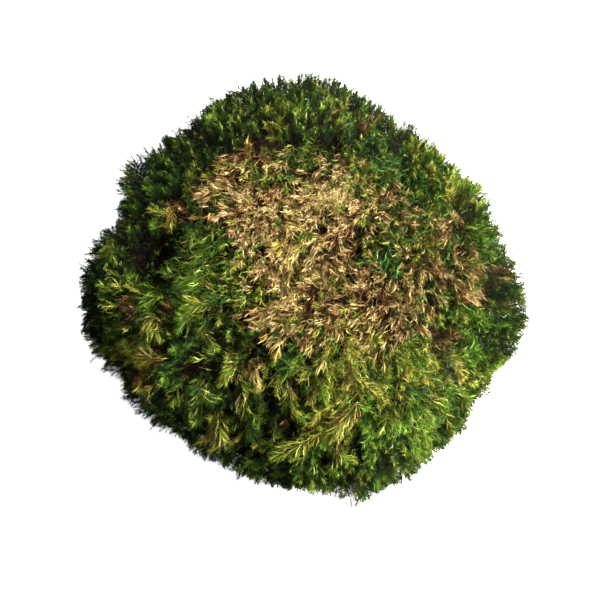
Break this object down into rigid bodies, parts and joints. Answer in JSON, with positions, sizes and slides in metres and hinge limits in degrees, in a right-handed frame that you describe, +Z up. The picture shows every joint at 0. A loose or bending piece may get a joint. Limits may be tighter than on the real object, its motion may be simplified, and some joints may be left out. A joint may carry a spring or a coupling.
{
  "type": "moss clump",
  "caption": "Rounded clump of moss lifted off the ground: green leafy shoots round a dry straw-coloured crown, with a flat cut underneath.",
  "frame": {"origin": "middle of the flat cut that the clump rests on", "axes": "+Z up out of the cut; -Y is the side that faces the viewer, where the tall fronds lie"},
  "size_m": [0.193, 0.1962, 0.0807],
  "materials": {
    "living_moss": "matte",
    "dry_moss": "matte",
    "dead_base": "matte"
  },
  "bodies": {
    "root": {"moss_cushion": "living_moss"}
  },
  "joints": []
}
